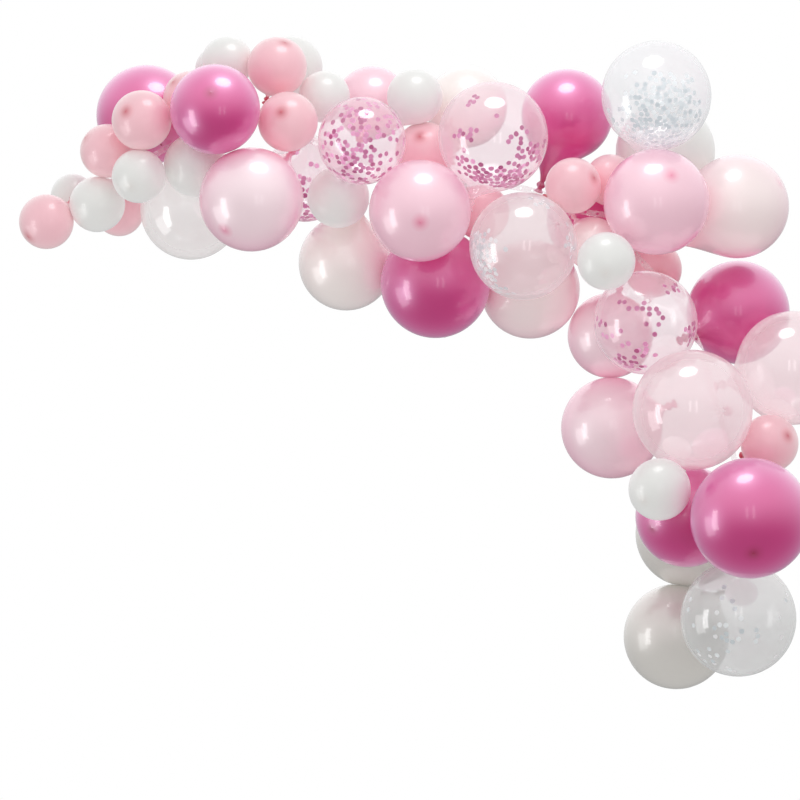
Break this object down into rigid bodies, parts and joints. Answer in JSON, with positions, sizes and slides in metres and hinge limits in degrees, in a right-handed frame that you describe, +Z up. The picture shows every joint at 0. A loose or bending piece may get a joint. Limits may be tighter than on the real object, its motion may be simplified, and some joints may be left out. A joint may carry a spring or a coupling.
{
  "type": "balloon garland",
  "caption": "Wall garland of round latex balloons in pinks, white, pearl and clear with confetti, knotted along a hidden clear strip that is hooked up at both ends.",
  "frame": {"origin": "middle of the flat back of the strip's start tab, at the garland's upper left, where it is hooked to the wall", "axes": "+X to the right along the wall, +Y into the wall, +Z up. The viewer looks along +Y. The wall is the plane y = 0 and all of the garland is on its -Y side."},
  "size_m": [1.6562, 0.6007, 1.304],
  "materials": {
    "hot_pink_latex": "glossy opaque hot pink latex, darker at the crown and knot",
    "rose_latex": "satin pastel rose latex",
    "white_latex": "satin white latex, slightly translucent",
    "pink_pearl_latex": "pearlescent light pink latex",
    "blush_pearl_latex": "pearlescent blush latex",
    "white_pearl_latex": "pearlescent warm white latex",
    "clear_latex": "clear glossy latex, see-through",
    "strip_plastic": "clear flexible decorating strip with a row of holes",
    "pink_confetti_discs": "round tissue confetti in magenta and pink",
    "white_confetti_discs": "round tissue confetti in white"
  },
  "bodies": {
    "root": {"balloon_strip": "strip_plastic", "blush_pearl_balloon_1": "blush_pearl_latex", "blush_pearl_balloon_2": "blush_pearl_latex", "blush_pearl_balloon_3": "blush_pearl_latex", "clear_balloon_1": "clear_latex", "clear_balloon_2": "clear_latex", "clear_balloon_3": "clear_latex", "hot_pink_balloon_1": "hot_pink_latex", "hot_pink_balloon_2": "hot_pink_latex", "hot_pink_balloon_3": "hot_pink_latex", "hot_pink_balloon_4": "hot_pink_latex", "hot_pink_balloon_5": "hot_pink_latex", "hot_pink_balloon_6": "hot_pink_latex", "hot_pink_balloon_7": "hot_pink_latex", "hot_pink_balloon_8": "hot_pink_latex", "pink_confetti_balloon_1": "clear_latex", "pink_confetti_balloon_2": "clear_latex", "pink_confetti_balloon_3": "clear_latex", "pink_confetti_balloon_4": "clear_latex", "pink_pearl_balloon_1": "pink_pearl_latex", "pink_pearl_balloon_2": "pink_pearl_latex", "pink_pearl_balloon_3": "pink_pearl_latex", "pink_pearl_balloon_4": "pink_pearl_latex", "pink_pearl_balloon_5": "pink_pearl_latex", "pink_pearl_balloon_6": "pink_pearl_latex", "rose_balloon_1": "rose_latex", "rose_balloon_10": "rose_latex", "rose_balloon_11": "rose_latex", "rose_balloon_12": "rose_latex", "rose_balloon_13": "rose_latex", "rose_balloon_2": "rose_latex", "rose_balloon_3": "rose_latex", "rose_balloon_4": "rose_latex", "rose_balloon_5": "rose_latex", "rose_balloon_6": "rose_latex", "rose_balloon_7": "rose_latex", "rose_balloon_8": "rose_latex", "rose_balloon_9": "rose_latex", "white_balloon_1": "white_latex", "white_balloon_10": "white_latex", "white_balloon_11": "white_latex", "white_balloon_12": "white_latex", "white_balloon_13": "white_latex", "white_balloon_2": "white_latex", "white_balloon_3": "white_latex", "white_balloon_4": "white_latex", "white_balloon_5": "white_latex", "white_balloon_6": "white_latex", "white_balloon_7": "white_latex", "white_balloon_8": "white_latex", "white_balloon_9": "white_latex", "white_confetti_balloon_1": "clear_latex", "white_confetti_balloon_2": "clear_latex", "white_confetti_balloon_3": "clear_latex", "white_pearl_balloon_1": "white_pearl_latex", "white_pearl_balloon_2": "white_pearl_latex", "white_pearl_balloon_3": "white_pearl_latex", "white_pearl_balloon_4": "white_pearl_latex"}
  },
  "joints": []
}
